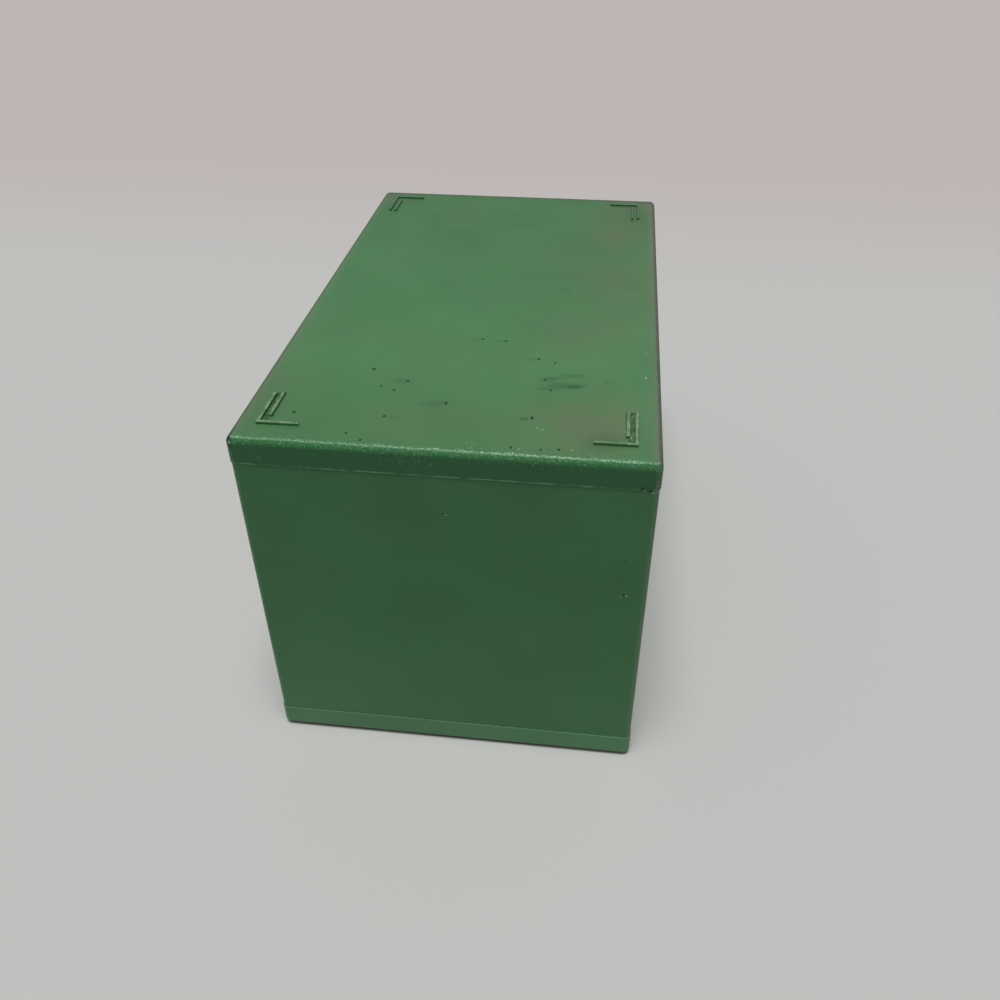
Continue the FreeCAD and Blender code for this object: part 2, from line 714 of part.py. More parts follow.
def build_each(kind, build, spot):
    """One body, and a copy of it for every other cell of the grid."""
    made = []
    for row, row_name in enumerate(ROW_NAMES):
        for column in range(COLUMNS):
            name = f"{kind}_{row_name}_{column + 1}"
            made.append(add_copy(name, made[0], **spot(row, column)) if made else build(name))
    return made


partition = build_partition("partition_1")
shelf = build_shelf("shelf_1")
pieces = [
    build_top_cover(),
    build_base(),
    build_end_panel("right_end_panel", 1),
    build_end_panel("left_end_panel", -1),
    build_back_panel(),
    partition,
    shelf,
]
for index in range(1, COLUMNS - 1):
    pieces.append(add_copy(f"partition_{index + 1}", partition, x=partition_x(index)))
for row in range(2, ROWS):
    pieces.append(add_copy(f"shelf_{row}", shelf, z=f"{row_floor(row)} - Sizes.shelf_plate"))
pieces += build_each("drawer", build_drawer, drawer_place)
pieces += build_each("divider", build_divider, divider_place)
pieces += build_each("label_card", build_label_card, card_place)
doc.recompute()

for item in doc.Objects:
    if {"Invalid", "Error"} & set(item.State):
        raise RuntimeError(f"{item.Label} failed: {item.State}")
for piece in pieces:
    if piece.Shape.isNull() or not piece.Shape.isValid() or len(piece.Shape.Solids) != 1:
        raise RuntimeError(f"{piece.Label} is not one sound solid")

os.makedirs("parts", exist_ok=True)
for piece in pieces:
    piece.Shape.exportStep(f"parts/{piece.Label}.step")

print(f"{len(pieces)} pieces, drawer travel {number('Places.drawer_travel'):.2f} mm, "
      f"drawer {2 * number('Places.drawer_half'):.2f} x {number('Places.drawer_height'):.2f} x "
      f"{number('Places.drawer_length'):.2f} mm")
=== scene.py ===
import json
import math

import bpy
from mathutils import Matrix, Vector


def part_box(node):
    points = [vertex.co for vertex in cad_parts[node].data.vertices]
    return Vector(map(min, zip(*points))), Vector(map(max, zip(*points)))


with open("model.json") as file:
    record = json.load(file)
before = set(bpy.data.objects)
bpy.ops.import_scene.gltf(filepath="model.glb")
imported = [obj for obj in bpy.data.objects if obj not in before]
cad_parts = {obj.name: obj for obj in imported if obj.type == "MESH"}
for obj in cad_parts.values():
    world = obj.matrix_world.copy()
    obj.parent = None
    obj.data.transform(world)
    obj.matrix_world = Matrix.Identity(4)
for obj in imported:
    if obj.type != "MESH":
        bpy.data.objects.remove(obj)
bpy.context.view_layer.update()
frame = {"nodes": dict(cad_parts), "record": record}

# The view: from above the cabinet's right end, looking down its length.
# It is a plain camera with no shift, turned a little to the left about its own line of sight.
eye = Vector((0.3847, 0.0572, 0.3256))
line_of_sight = Vector((-0.7935, -0.0997, -0.6003))
camera_roll = math.radians(-0.37)
sensor_width = 36.0
photo_width = 1000
focal_length_in_pixels = 919.8

camera_data = bpy.data.cameras.new("view")
camera_data.sensor_fit = "HORIZONTAL"
camera_data.sensor_width = sensor_width
camera_data.lens = focal_length_in_pixels * sensor_width / photo_width
camera_data.clip_start = 0.01
camera = bpy.data.objects.new("view", camera_data)
facing_away = line_of_sight.to_track_quat("-Z", "Y").to_matrix()
turned = facing_away @ Matrix.Rotation(camera_roll, 3, "Z")
camera.matrix_world = Matrix.Translation(eye) @ turned.to_4x4()
bpy.context.scene.collection.objects.link(camera)
bpy.context.scene.camera = camera


# Base: one injection moulding in green styrene, hollow underneath, with ribs and four foot rails.
# Its grooved rim takes the walls. Its outer band is a shade lighter than the walls above it.
def add_node(tree, kind, inputs=None, **settings):
    """One shader node, with its settings and the values or links of its sockets."""
    made = tree.nodes.new("ShaderNode" + kind)
    for name, value in settings.items():
        setattr(made, name, value)
    for socket, value in (inputs or {}).items():
        if isinstance(value, bpy.types.NodeSocket):
            tree.links.new(value, made.inputs[socket])
        else:
            made.inputs[socket].default_value = value
    return made


def mix_colours(tree, share, first, second):
    mix = add_node(tree, "Mix", {0: share, 6: first, 7: second}, data_type="RGBA")
    return mix.outputs[2]


def calculate(tree, operation, first, second=0.0):
    return add_node(tree, "Math", {0: first, 1: second}, operation=operation).outputs[0]


def product(tree, *masks):
    """Several masks multiplied together: what is left is where they all are."""
    total = masks[0]
    for mask in masks[1:]:
        total = calculate(tree, "MULTIPLY", total, mask)
    return total


def ramp(tree, level, between, values=(0, 1)):
    """A smooth climb from the first value to the second, while a level goes between two limits."""
    made = add_node(tree, "MapRange", {
        0: level, 1: between[0], 2: between[1], 3: values[0], 4: values[1]},
        interpolation_type="SMOOTHSTEP")
    return made.outputs[0]


def band(tree, level, rise, fall):
    """1 while a level lies between two slopes: up over the rise, and down again over the fall."""
    return product(tree, ramp(tree, level, rise), ramp(tree, level, fall, values=(1, 0)))


def mottling(tree, place, size, detail=2.0, roughness=0.5):
    """Soft noise, with patches of about this size in metres."""
    made = add_node(tree, "TexNoise", {"Vector": place, "Scale": 1 / size, "Detail": detail,
                                       "Roughness": roughness})
    return made.outputs["Fac"]


def blotches(tree, place, size, between, values=(0, 1), detail=2.0, roughness=0.5):
    """Mottling pulled apart, from one value to the other between two limits of the noise. Limits
    close together make hard blotches, and limits far apart soft clouds."""
    return ramp(tree, mottling(tree, place, size, detail, roughness), between, values)


def edge_wear(tree, width):
    """Where the surface turns a corner within this width, from 0 on flats to 1 on sharp edges."""
    rounded = add_node(tree, "Bevel", {"Radius": width}, samples=6).outputs[0]
    true = add_node(tree, "NewGeometry").outputs["Normal"]
    agreement = add_node(tree, "VectorMath", {0: rounded, 1: true}, operation="DOT_PRODUCT")
    return ramp(tree, agreement.outputs["Value"], between=(0.99, 0.8))


def crevices(tree, reach):
    """Inner corners, where dirt settles and shade falls: 1 deep in an inner corner, 0 on open
    surfaces.
    """
    openness = add_node(tree, "AmbientOcclusion", {"Distance": reach}, samples=8).outputs["AO"]
    return ramp(tree, openness, between=(0.9, 0.5))


def one_part(tree, vector, axis):
    return add_node(tree, "SeparateXYZ", {0: vector}).outputs[axis]


def surface_turn(tree, axis):
    """How far the surface faces along an axis: 1 straight along it, 0 across it."""
    return one_part(tree, add_node(tree, "NewGeometry").outputs["Normal"], axis)


def facing(tree, axis, between, values=(0, 1)):
    """A climb from one value to the other while the surface turns to face along an axis."""
    return ramp(tree, surface_turn(tree, axis), between, values)


def shade(colour, share):
    return tuple(channel * share for channel in colour[:3]) + (1,)


def start_material(name):
    """A new material with its nodes, its shader, and the place on the cabinet, in metres."""
    material = bpy.data.materials.new(name)
    material.use_nodes = True
    tree = material.node_tree
    place = add_node(tree, "TexCoord").outputs["Object"]
    return material, tree, tree.nodes["Principled BSDF"], place


def emboss(tree, shader, height, strength, depth):
    """Fine relief in the surface: a height of 1 stands up by the depth."""
    relief = add_node(tree, "Bump", {"Strength": strength, "Distance": depth, "Height": height})
    tree.links.new(relief.outputs[0], shader.inputs["Normal"])


GREEN = (0.043, 0.160, 0.058, 1)
GREEN_WORN = (0.130, 0.310, 0.155, 1)
DUST_FILM = (0.166, 0.148, 0.098, 1)
GRIME_AND_SHADE = (0.012, 0.034, 0.016, 1)


def moulded_green(name, body=GREEN, worn=GREEN_WORN, dirt=GRIME_AND_SHADE, film=0.06, stains=(),
                  grain_depth=0.00012, handled=None):
    """Satin green styrene with a fine moulded grain, deepest on rounded edges, a dust film, worn
    edges, and inner corners darkened with grime and painted shade. Stains are pairs: a function
    that makes the mask, and a colour. Handled makes a mask of where hands have rubbed edges, and of
    where corners are darkened, if not everywhere."""
    material, tree, shader, place = start_material(name)
    streaks = blotches(tree, place, size=0.045, between=(0.35, 0.65), detail=4)
    colour = mix_colours(tree, streaks, body, shade(body, 0.88))
    dusty = blotches(tree, place, size=0.06, between=(0.3, 0.75), values=(0.2 * film, film),
                     detail=3)
    colour = mix_colours(tree, dusty, colour, DUST_FILM)
    for make_mask, stain_colour in stains:
        colour = mix_colours(tree, make_mask(tree, place), colour, stain_colour)
    use = handled(tree, place) if handled else 1.0
    broken = blotches(tree, place, size=0.0025, between=(0.4, 0.62), values=(0.1, 0.9), detail=4)
    rubbed = product(tree, edge_wear(tree, width=0.0006), broken, use)
    colour = mix_colours(tree, rubbed, colour, worn)
    # Inner corners are darkened by ambient occlusion: grime and painted shade.
    patchy = blotches(tree, place, size=0.003, between=(0.25, 0.6), values=(0.2, 0.75), detail=3)
    packed = product(tree, crevices(tree, reach=0.0009), patchy, use)
    colour = mix_colours(tree, packed, colour, dirt)
    tree.links.new(colour, shader.inputs["Base Color"])
    shader.inputs["Specular IOR Level"].default_value = 0.22
    on_rounding = band(tree, surface_turn(tree, "Z"), rise=(0.05, 0.3), fall=(0.97, 0.9995))
    sheen = blotches(tree, place, size=0.03, between=(0.3, 0.7), values=(0.38, 0.5), detail=4)
    sheen = calculate(tree, "ADD", sheen, ramp(tree, on_rounding, between=(0, 1), values=(0, 0.14)))
    tree.links.new(sheen, shader.inputs["Roughness"])
    grain = mottling(tree, place, size=0.0006, detail=3, roughness=0.7)
    grain = product(tree, calculate(tree, "SUBTRACT", grain, 0.5),
                    ramp(tree, on_rounding, between=(0, 1), values=(0.25, 1)))
    emboss(tree, shader, grain, strength=0.5, depth=grain_depth)
    return material


def paint(node, material):
    frame["nodes"][node].data.materials.clear()
    frame["nodes"][node].data.materials.append(material)


GREEN_BASE = (0.086, 0.234, 0.105, 1)
paint("base", moulded_green("base_green", body=GREEN_BASE))


# Shell walls: two end panels and the back panel, flat mouldings in the same green styrene.
# Tongues above and below hold them in the base's groove and inside the cover's skirt.
# The right end has a few nicks, and chips under the cover's seam.
cover_low, cover_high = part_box("top_cover")
shell_middle = (cover_low + cover_high) / 2
shell_half_width = (cover_high.x - cover_low.x) / 2
shell_half_depth = (cover_high.y - cover_low.y) / 2
millimetre = 0.001


def from_middle(tree, place, axis):
    """How far the place is from the shell's middle plane along an axis, in metres."""
    return calculate(tree, "SUBTRACT", one_part(tree, place, axis), shell_middle["XYZ".index(axis)])


def along(tree, place, axis, between, values=(0, 1)):
    """A climb from one value to the other between two distances from the shell's middle."""
    return ramp(tree, from_middle(tree, place, axis), between, values)


def flat_place(tree, place, across, up, middle_across, middle_up):
    """The place on one flat face, in millimetres from its middle."""
    first = calculate(tree, "SUBTRACT", one_part(tree, place, across), middle_across)
    second = calculate(tree, "SUBTRACT", one_part(tree, place, up), middle_up)
    flat = add_node(tree, "CombineXYZ", {"X": calculate(tree, "DIVIDE", first, millimetre),
                                         "Y": calculate(tree, "DIVIDE", second, millimetre)})
    return flat.outputs[0]


def end_place(tree, place):
    """The place on the right end, in millimetres: across from its middle, up from the table."""
    return flat_place(tree, place, "Y", "Z", shell_middle.y, 0)


def spots(tree, flat, marks, ragged=0.5, soft=0.25):
    """A mask for small marks on a flat face, each at (across, up), with half its length, half
    its width and the turn of its length in degrees. Their outlines are a little ragged."""
    noise = add_node(tree, "TexNoise", {"Vector": flat, "Scale": 1.6, "Detail": 2}).outputs["Color"]
    shift = add_node(tree, "VectorMath", {0: noise, 1: (0.5, 0.5, 0.5)}, operation="SUBTRACT")
    shaken = add_node(tree, "VectorMath", {0: shift.outputs[0], 1: (ragged, ragged, 0), 2: flat},
                      operation="MULTIPLY_ADD").outputs[0]
    nearest = None
    for across, up, half_length, half_width, turn in marks:
        local = add_node(tree, "Mapping", {
            "Vector": shaken, "Location": (across, up, 0), "Rotation": (0, 0, math.radians(turn)),
            "Scale": (half_length, half_width, 1)}, vector_type="TEXTURE").outputs[0]
        reach = add_node(tree, "VectorMath", {0: local}, operation="LENGTH").outputs["Value"]
        nearest = reach if nearest is None else calculate(tree, "MINIMUM", nearest, reach)
    return ramp(tree, nearest, between=(1 + soft, 1 - soft))


def end_marks(tree, place, marks, strength, ragged=0.5, soft=0.25):
    """Small marks on the right end, and only where the surface faces right."""
    mask = spots(tree, end_place(tree, place), marks, ragged, soft)
    return product(tree, mask, facing(tree, "X", between=(0.3, 0.6), values=(0, strength)))


def end_nick_hollows(tree, place):
    return end_marks(tree, place, [
        (0.6, 124.7, 0.5, 0.4, 0), (66.9, 92.3, 0.7, 0.5, 60),
        (36.4, 108.2, 0.45, 0.35, 0), (66.2, 108.8, 0.35, 0.3, 0)], strength=0.8)


def end_nick_rims(tree, place):
    return end_marks(tree, place, [
        (1.3, 124.2, 0.35, 0.25, 40), (67.9, 92.0, 0.45, 0.4, 0),
        (66.0, 91.4, 0.3, 0.2, 0), (37.0, 107.9, 0.25, 0.2, 0)], strength=0.9)


def seam_chips(tree, place):
    """Small breaks across the cover's seam, near the right end's back corner."""
    return end_marks(tree, place, [
        (69.6, 141.6, 0.9, 0.7, 50), (72.3, 140.9, 0.9, 0.7, -20)], strength=0.9, ragged=0.9)


def chip_rims(tree, place):
    """The pale torn edges of those chips."""
    return end_marks(tree, place, [
        (73.6, 139.9, 1.0, 0.28, -10), (74.9, 140.5, 0.6, 0.25, 50),
        (70.5, 140.6, 0.4, 0.3, 50)], strength=0.95)


def chalky_corners(tree, place):
    """The upright corners of the walls are scuffed, in fine pale speckles."""
    to_ends = calculate(tree, "ABSOLUTE", surface_turn(tree, "X"))
    to_sides = calculate(tree, "ABSOLUTE", surface_turn(tree, "Y"))
    speckle = blotches(tree, place, size=0.0009, between=(0.42, 0.66), values=(0.05, 0.75),
                       detail=3)
    patches = blotches(tree, place, size=0.02, between=(0.3, 0.6), values=(0.3, 1))
    return product(tree, ramp(tree, to_ends, between=(0.3, 0.6)),
                   ramp(tree, to_sides, between=(0.08, 0.4)), speckle, patches)


def handled_foot(tree, place):
    """Hands have rubbed the lower part of the end a little lighter, most at the front corner."""
    low_down = ramp(tree, one_part(tree, place, "Z"), between=(0.075, 0.012), values=(0, 0.4))
    to_front = along(tree, place, "Y", between=(0.03, -0.07), values=(0.35, 1))
    return product(tree, low_down, to_front)


CHALK = (0.300, 0.380, 0.290, 1)
SCUFF_GREY = (0.160, 0.190, 0.145, 1)
end_green = moulded_green("end_green", stains=[
    (handled_foot, GREEN_BASE), (chalky_corners, SCUFF_GREY), (end_nick_hollows, GRIME_AND_SHADE),
    (end_nick_rims, CHALK), (seam_chips, GRIME_AND_SHADE), (chip_rims, CHALK)])
wall_green = moulded_green("wall_green", stains=[(chalky_corners, SCUFF_GREY)])
paint("right_end_panel", end_green)
paint("left_end_panel", wall_green)
paint("back_panel", wall_green)


# Inner grid: three upright partitions and two shelves, cross-lapped, in the same green styrene.
# Only their front edges show, so they are cleaner than the shell.
grid_green = moulded_green("grid_green", film=0.03)
for sheet in ("partition_1", "partition_2", "partition_3", "shelf_1", "shelf_2"):
    paint(sheet, grid_green)


# Top cover: a plate and skirt in one green moulding, pressed down over the walls.
# Its top is where things get put down, so it has the most dirt: a brown film towards the back and
# the right end, dark specks and a smudge. One edge is rubbed pale and carries a painted highlight;
# the others, the skirt and the left end of the top are painted darker, as shade.
edge_directions = {"right": ("X", 1), "left": ("X", -1), "back": ("Y", 1), "front": ("Y", -1)}
foot_channel_half_length = 0.0104
foot_channel_half_width = 0.0010
skirt_grain_middle = 0.008


def near_edge(tree, place, edge, between, values=(0, 1)):
    """A climb from one value to the other on the way out to one edge of the shell, between two
    distances in from that edge."""
    axis, direction = edge_directions[edge]
    half_size = shell_half_width if axis == "X" else shell_half_depth
    outwards = product(tree, from_middle(tree, place, axis), direction)
    return ramp(tree, calculate(tree, "SUBTRACT", half_size, outwards), between, values)


def strongest(tree, *masks):
    """Several masks laid over each other, the strongest of them at each place."""
    total = masks[0]
    for mask in masks[1:]:
        total = calculate(tree, "MAXIMUM", total, mask)
    return total


def top_marks(tree, place, marks, strength=1.0, ragged=0.5, soft=0.25):
    """Small marks on the flat of the top, in millimetres from its middle."""
    flat = flat_place(tree, place, "X", "Y", shell_middle.x, shell_middle.y)
    mask = spots(tree, flat, marks, ragged, soft)
    return product(tree, mask, facing(tree, "Z", between=(0.7, 0.95), values=(0, strength)))


def mount_place(name):
    return next(mount["pos_m"] for mount in frame["record"]["mounts"] if mount["name"] == name)


def settled_film(tree, place):
    """Brown film in clouds, towards the back and the right end, and in front at the right."""
    towards_back = product(tree, along(tree, place, "Y", between=(0.0, 0.085)),
                           near_edge(tree, place, "back", between=(0.018, 0.006), values=(1, 0.55)))
    along_front = product(
        tree, near_edge(tree, place, "front", between=(0.024, 0.006), values=(0, 0.6)),
        along(tree, place, "X", between=(0.0, 0.09)))
    towards_right_end = along(tree, place, "X", between=(0.02, 0.115), values=(0, 0.5))
    film = strongest(tree, towards_back, along_front, towards_right_end)
    rubbed_thin = near_edge(tree, place, "right", between=(0.0100, 0.0040), values=(1, 0.7))
    clouds = blotches(tree, place, size=0.05, between=(0.32, 0.68), values=(0.12, 0.5), detail=4)
    return product(tree, film, rubbed_thin, clouds, facing(tree, "Z", between=(0.6, 0.98)))


def film_patches(tree, place):
    """Where the film is thickest: near the two back corners."""
    corners = top_marks(tree, place, [(103, 46, 18, 17, 0), (-88, 58, 24, 11, 0)],
                        ragged=0.8, soft=0.85)
    thick = blotches(tree, place, size=0.016, between=(0.3, 0.65), values=(0.1, 0.38), detail=4)
    return product(tree, corners, thick)


def corner_dust(tree, place):
    """Grey dust that nobody wipes away, in the two left corners."""
    corners = top_marks(tree, place, [(-123, -67, 13, 9, 0), (-121, 66, 11, 13, 0)],
                        ragged=3, soft=0.6)
    broken = blotches(tree, place, size=0.006, between=(0.3, 0.65), values=(0.35, 0.75), detail=4)
    return product(tree, corners, broken)


def shaded_ends(tree, place):
    """The top is painted darker towards its left end, as shade, and a little in front at its right
    end.
    """
    towards_left_end = along(tree, place, "X", between=(0.07, -0.135), values=(0, 0.6))
    right_front = product(tree, along(tree, place, "X", between=(0.045, 0.105), values=(0, 0.2)),
                          along(tree, place, "Y", between=(0.04, 0.0)))
    dull = calculate(tree, "ADD", towards_left_end, right_front)
    return product(tree, dull, facing(tree, "Z", between=(0.6, 0.98)))


def shaded_skirt(tree, place):
    """The skirt and other upright faces of the cover are painted a deep green, as shade. The sides
    of the corner marks, which stand above the plate, get only a quarter of it."""
    plate = mount_place("top")[2]
    below_plate = ramp(tree, one_part(tree, place, "Z"), between=(plate + 0.0001, plate - 0.0004),
                       values=(0.25, 1))
    return product(tree, facing(tree, "Z", between=(0.6, 0.05), values=(0, 0.9)), below_plate)


def long_edge_dust(tree, place):
    """Grey dust and scuffs along the front, back and left edges, thickest on the rounding."""
    margin = strongest(tree, near_edge(tree, place, "back", between=(0.0055, 0.0012)),
                       near_edge(tree, place, "front", between=(0.0055, 0.0012)),
                       near_edge(tree, place, "left", between=(0.0045, 0.0010)))
    speckle = blotches(tree, place, size=0.0010, between=(0.38, 0.6), values=(0.1, 0.9), detail=3,
                       roughness=0.7)
    return product(tree, margin, facing(tree, "Z", between=(0.02, 0.3)), speckle)


def shaded_edges(tree, place):
    """The rounding of those three edges is painted a dark grey brown, as shade, which at the left
    end reaches onto the flat of the top."""
    turn = surface_turn(tree, "Z")
    rounding = band(tree, turn, rise=(0.05, 0.4), fall=(0.80, 0.96))
    left_margin = product(tree, near_edge(tree, place, "left", between=(0.0065, 0.0030)),
                          ramp(tree, turn, between=(0.4, 0.8)))
    away_from_right = facing(tree, "X", between=(0.25, 0.05))
    uneven = blotches(tree, place, size=0.008, between=(0.35, 0.65), values=(0.55, 0.9), detail=4)
    return product(tree, strongest(tree, rounding, left_margin), away_from_right, uneven)


def right_edge(tree):
    """The right end's rounding alone, from its crown to where it turns upright."""
    return facing(tree, "X", between=(0.02, 0.2))


def wear_and_glint_line(tree, place):
    """Grain on the crown of the right edge, rubbed pale and painted as a highlight, in a thin
    broken line of specks.
    """
    shift = blotches(tree, place, size=0.002, between=(0.3, 0.7), values=(-0.06, 0.06), detail=4,
                     roughness=0.8)
    wavering = calculate(tree, "ADD", surface_turn(tree, "Z"), shift)
    crown = band(tree, wavering, rise=(0.80, 0.87), fall=(0.94, 0.975))
    speckle = blotches(tree, place, size=0.0007, between=(0.46, 0.56), values=(0.1, 1), detail=3,
                       roughness=0.8)
    brighter_to_back = along(tree, place, "Y", between=(-0.05, 0.05), values=(0.65, 1))
    return product(tree, crown, right_edge(tree), speckle, brighter_to_back)


def loose_wear_and_glints(tree, place):
    """Single pale grains, partly wear and partly painted glints, scattered over the shoulder below
    that line.
    """
    below = band(tree, surface_turn(tree, "Z"), rise=(-0.1, 0.5), fall=(0.75, 0.85))
    grains = blotches(tree, place, size=0.0006, between=(0.57, 0.66), values=(0, 0.45),
                      roughness=0.7)
    return product(tree, below, right_edge(tree), grains)


def shaded_shoulder(tree, place):
    """Below the crown the edge is painted a deep green, as shade, broken by the same grain."""
    shoulder = band(tree, surface_turn(tree, "Z"), rise=(0.0, 0.25), fall=(0.78, 0.87))
    speckle = blotches(tree, place, size=0.0008, between=(0.6, 0.44), values=(0.5, 1), detail=3,
                       roughness=0.8)
    return product(tree, shoulder, right_edge(tree), speckle)


def above_seam(tree, place):
    """How high the place is above the skirt's lower edge."""
    return calculate(tree, "SUBTRACT", one_part(tree, place, "Z"), cover_low.z)


def skirt_strip(tree, place):
    """The upper part of the right end's skirt, in patches, most of it about the middle."""
    upper = ramp(tree, above_seam(tree, place), between=(0.0015, 0.0055))
    across = calculate(tree, "SUBTRACT", from_middle(tree, place, "Y"), skirt_grain_middle)
    about_middle = ramp(tree, calculate(tree, "ABSOLUTE", across), between=(0.05, 0.02),
                        values=(0.25, 1))
    patches = blotches(tree, place, size=0.018, between=(0.4, 0.6), values=(0.35, 1), detail=3)
    return product(tree, upper, about_middle, patches, facing(tree, "X", between=(0.8, 0.98)))


def bright_skirt_grain(tree, place):
    grains = blotches(tree, place, size=0.0008, between=(0.53, 0.63), values=(0, 0.95))
    return product(tree, skirt_strip(tree, place), grains)


def dark_skirt_grain(tree, place):
    grains = blotches(tree, place, size=0.0007, between=(0.45, 0.35), values=(0, 0.7))
    return product(tree, skirt_strip(tree, place), grains)


def edge_grain(tree, place, between, grains):
    """Grain gathered on the flat beside the right edge: in patches, and more towards the back."""
    strip = near_edge(tree, place, "right", between)
    patches = blotches(tree, place, size=0.02, between=(0.42, 0.65), values=(0.1, 1))
    more_to_back = along(tree, place, "Y", between=(-0.02, 0.03), values=(0.4, 1))
    on_flat = facing(tree, "Z", between=(0.9, 0.99), values=(0, 0.7))
    return product(tree, strip, patches, more_to_back, grains, on_flat)


def pale_grain(tree, place):
    grains = blotches(tree, place, size=0.0008, between=(0.56, 0.66))
    return edge_grain(tree, place, (0.0085, 0.0035), grains)


def dark_grain(tree, place):
    grains = blotches(tree, place, size=0.0009, between=(0.42, 0.33))
    return edge_grain(tree, place, (0.0110, 0.0040), grains)


def most_used(tree, place):
    """Hands and things put down have worked most on the right half. The painted shade in the
    cover's corners follows the same mask.
    """
    return along(tree, place, "X", between=(-0.08, 0.09), values=(0.12, 1))


def below_crowns(tree, place):
    """How far down the place is from the crowns of the corner marks."""
    return calculate(tree, "SUBTRACT", cover_high.z, one_part(tree, place, "Z"))


def rubbed_marks(tree, place):
    """The crowns of the corner marks stand proud, so they are rubbed pale."""
    crown = ramp(tree, below_crowns(tree, place), between=(0.0004, 0.0001))
    rubbed = blotches(tree, place, size=0.0016, between=(0.4, 0.6), values=(0.15, 1), detail=4)
    return product(tree, crown, rubbed, most_used(tree, place))


def foot_channel(tree, place, axis, half_size, fade):
    """1 inside the channel of a corner mark that a foot rail stands in, measured on one axis."""
    rail = mount_place("foot")["XYZ".index(axis)] - shell_middle["XYZ".index(axis)]
    from_shell_middle = calculate(tree, "ABSOLUTE", from_middle(tree, place, axis))
    from_rail = calculate(tree, "ABSOLUTE", calculate(tree, "SUBTRACT", from_shell_middle, rail))
    return ramp(tree, from_rail, between=(half_size + fade, half_size - fade / 4))


def mark_grime(tree, place):
    """Dirt caught between the two ridges of each corner mark, where a foot rail stands when one
    cabinet is put on another."""
    lengthwise = foot_channel(tree, place, "X", foot_channel_half_length, fade=0.0008)
    crosswise = foot_channel(tree, place, "Y", foot_channel_half_width, fade=0.0010)
    low_down = ramp(tree, below_crowns(tree, place), between=(0.0003, 0.0007))
    dirt = blotches(tree, place, size=0.0012, between=(0.44, 0.56), values=(0.1, 0.9), detail=4,
                    roughness=0.7)
    return product(tree, lengthwise, crosswise, low_down, dirt, most_used(tree, place))


def seam_pale_line(tree, place):
    """A fine pale line along the skirt's lower edge, broken into dashes."""
    line = band(tree, above_seam(tree, place), rise=(0.0001, 0.0003), fall=(0.0005, 0.0008))
    dashes = blotches(tree, place, size=0.009, between=(0.44, 0.58), values=(0.05, 0.85), detail=5,
                      roughness=0.8)
    return product(tree, line, dashes)


def dark_specks(tree, place):
    """Specks of dried dirt, each at its own place."""
    return top_marks(tree, place, [
        (46.1, 3.9, 0.59, 0.67, 90), (46.8, 13.5, 0.59, 0.81, 80), (60.7, 28.2, 0.89, 0.52, 0),
        (63.2, 34.8, 0.74, 0.37, 0), (75.9, -34.9, 0.89, 0.67, 40), (83.7, -19.8, 0.67, 0.67, 90),
        (88.6, -29.2, 0.74, 0.37, 0), (91.0, -23.7, 0.52, 0.74, 60), (98.1, -2.7, 0.96, 0.52, 0),
        (110.5, -56.4, 0.89, 0.52, 0), (109.6, -23.3, 0.81, 0.52, 0), (104.9, 29.6, 1.00, 0.59, 10),
        (122.1, -34.1, 0.67, 0.52, 0), (125.9, -28.1, 0.67, 0.44, 0), (124.6, 24.1, 0.74, 0.44, 0),
        (124.9, 34.4, 0.59, 0.44, 0), (124.2, 40.6, 0.67, 0.52, 30), (77.1, 32.0, 0.74, 0.44, 0),
        (84.6, 34.8, 0.74, 0.44, 0), (106.2, 26.4, 0.37, 0.37, 0), (105.7, 27.6, 0.30, 0.44, 0)],
        ragged=0.6, soft=0.4)


def faint_smears(tree, place):
    """Faint tails beside some of the specks, all drawn the same way."""
    return top_marks(tree, place, [
        (46.6, 1.6, 0.9, 2.2, 8), (47.4, 10.8, 0.9, 2.2, 6), (61.4, 25.0, 0.9, 3.0, 8),
        (84.0, -22.0, 1.6, 3.0, 4), (99.0, -7.0, 2.0, 5.0, 3), (105.6, 26.6, 1.0, 2.4, 6),
        (110.0, -20.4, 1.0, 2.2, 0), (118.0, 56.0, 5.0, 6.5, 10), (-5.9, 35.1, 1.6, 2.2, 20),
        (77.0, 56.0, 1.2, 2.0, 0), (77.0, 33.0, 1.4, 3.0, 10)],
        strength=0.3, ragged=2.4, soft=0.75)


def smudge(tree, place):
    """One wiped smear of a few strokes side by side, faint at the start and dark at the end."""
    strokes = top_marks(tree, place, [
        (72.8, 42.3, 1.4, 4.8, 4), (75.4, 34.6, 1.3, 4.2, 6), (80.6, 38.6, 2.3, 6.4, 8),
        (83.6, 33.2, 0.8, 3.4, 6), (81.0, 43.0, 1.9, 3.8, 10)],
        strength=0.4, ragged=2.6, soft=0.65)
    end = top_marks(tree, place, [(80.9, 44.0, 1.1, 3.4, 12)],
                    strength=0.36, ragged=1.8, soft=0.6)
    return calculate(tree, "ADD", strokes, end)


def pale_specks(tree, place):
    return top_marks(tree, place, [
        (71.3, 70.2, 0.6, 0.45, 0), (51.8, 70.3, 0.35, 0.3, 0), (110.4, 63.0, 0.4, 0.35, 0),
        (114.1, 64.8, 0.55, 0.45, 0), (111.3, 32.0, 0.3, 0.35, 0), (112.2, 34.0, 0.3, 0.4, 0),
        (124.0, 45.0, 0.3, 0.4, 0), (125.4, 27.0, 0.3, 0.4, 0)], ragged=0.3)


def scuffed_corner(tree, place):
    """The right front corner has been knocked: dark, with one pale dent. Some of the dirt runs
    on along the front edge."""
    knocked = spots(tree, end_place(tree, place), [(-76.0, 150.5, 2.2, 3.6, 20)],
                    ragged=1.5, soft=0.45)
    at_corner = near_edge(tree, place, "right", between=(0.012, 0.003), values=(0.35, 1))
    return product(tree, knocked, at_corner)


def corner_dent(tree, place):
    return end_marks(tree, place, [(-74.2, 149.6, 0.55, 0.5, 0)], strength=0.8)


def skirt_scuff(tree, place):
    """A faint forked scratch on the skirt, near the right end's front corner."""
    return end_marks(tree, place, [(-64.5, 144.0, 1.1, 0.2, -50), (-63.4, 144.6, 0.6, 0.15, 60)],
                     strength=0.45, ragged=0.9, soft=0.7)
